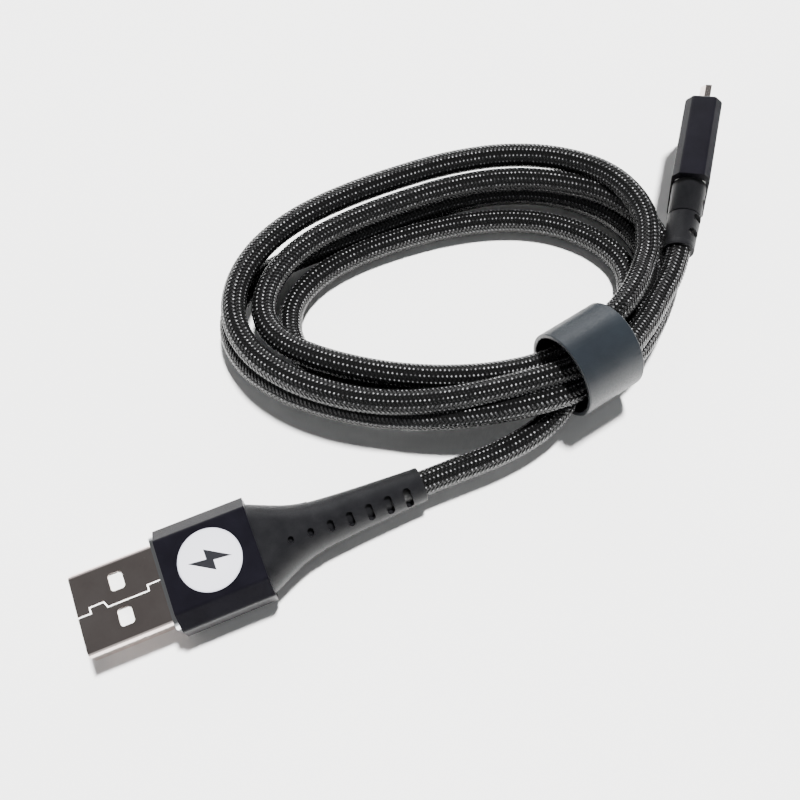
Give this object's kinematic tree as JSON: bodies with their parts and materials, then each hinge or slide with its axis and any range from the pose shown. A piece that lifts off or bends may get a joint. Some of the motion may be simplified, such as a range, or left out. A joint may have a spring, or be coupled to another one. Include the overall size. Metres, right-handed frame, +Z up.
{
  "type": "charging cable",
  "caption": "Braided USB-A to Micro-USB charging cable wound into a loose oval coil and held by a sliding rubber band.",
  "frame": {"origin": "bottom centre of the USB-A plug assembly (shell, housing and strain relief), on the table", "axes": "+X along the USB-A plug from its open tip towards the cord, +Y towards the coil, +Z up from the table"},
  "size_m": [0.1258, 0.0617, 0.0156],
  "materials": {
    "plug_steel": "polished",
    "bright_trim": "bright",
    "crimp_steel": "satin",
    "gold_contact": "bright",
    "blue_black_alloy": "satin, finely grained",
    "white_insulator": "satin",
    "black_insulator": "satin",
    "inner_plastic": "matte",
    "soft_relief": "matte",
    "label_paper": "satin",
    "label_print": "satin",
    "band_rubber": "satin",
    "braid": "braided, with grey flecks",
    "wire_red": "satin",
    "wire_white": "satin",
    "wire_green": "satin",
    "wire_black": "satin"
  },
  "bodies": {
    "cable": {"cable_coil": "braid", "cable_lead_a": "braid", "cable_lead_b": "braid", "micro_usb_contact_d_minus": "gold_contact", "micro_usb_contact_d_plus": "gold_contact", "micro_usb_contact_gnd": "gold_contact", "micro_usb_contact_id": "gold_contact", "micro_usb_contact_vbus": "gold_contact", "micro_usb_cord_end": "braid", "micro_usb_crimp": "crimp_steel", "micro_usb_housing": "blue_black_alloy", "micro_usb_inner_mold": "inner_plastic", "micro_usb_insulator": "black_insulator", "micro_usb_latches": "crimp_steel", "micro_usb_shell": "plug_steel", "micro_usb_strain_relief": "soft_relief", "micro_usb_wire_black": "wire_black", "micro_usb_wire_green": "wire_green", "micro_usb_wire_red": "wire_red", "micro_usb_wire_white": "wire_white", "usb_a_bezel": "bright_trim", "usb_a_contact_d_minus": "gold_contact", "usb_a_contact_d_plus": "gold_contact", "usb_a_contact_gnd": "gold_contact", "usb_a_contact_vbus": "gold_contact", "usb_a_cord_end": "braid", "usb_a_crimp": "crimp_steel", "usb_a_housing": "blue_black_alloy", "usb_a_inner_mold": "inner_plastic", "usb_a_label": "label_paper", "usb_a_label_mark": "label_print", "usb_a_shell": "plug_steel", "usb_a_strain_relief": "soft_relief", "usb_a_tongue": "white_insulator", "usb_a_wire_black": "wire_black", "usb_a_wire_green": "wire_green", "usb_a_wire_red": "wire_red", "usb_a_wire_white": "wire_white"},
    "band": {"tie_band": "band_rubber"}
  },
  "joints": [
    {"name": "tie_slide", "type": "slide", "parent": "cable", "child": "band", "axis": [0.9833, 0.1822, 0], "range_m": [-0.002, 0.002]}
  ]
}
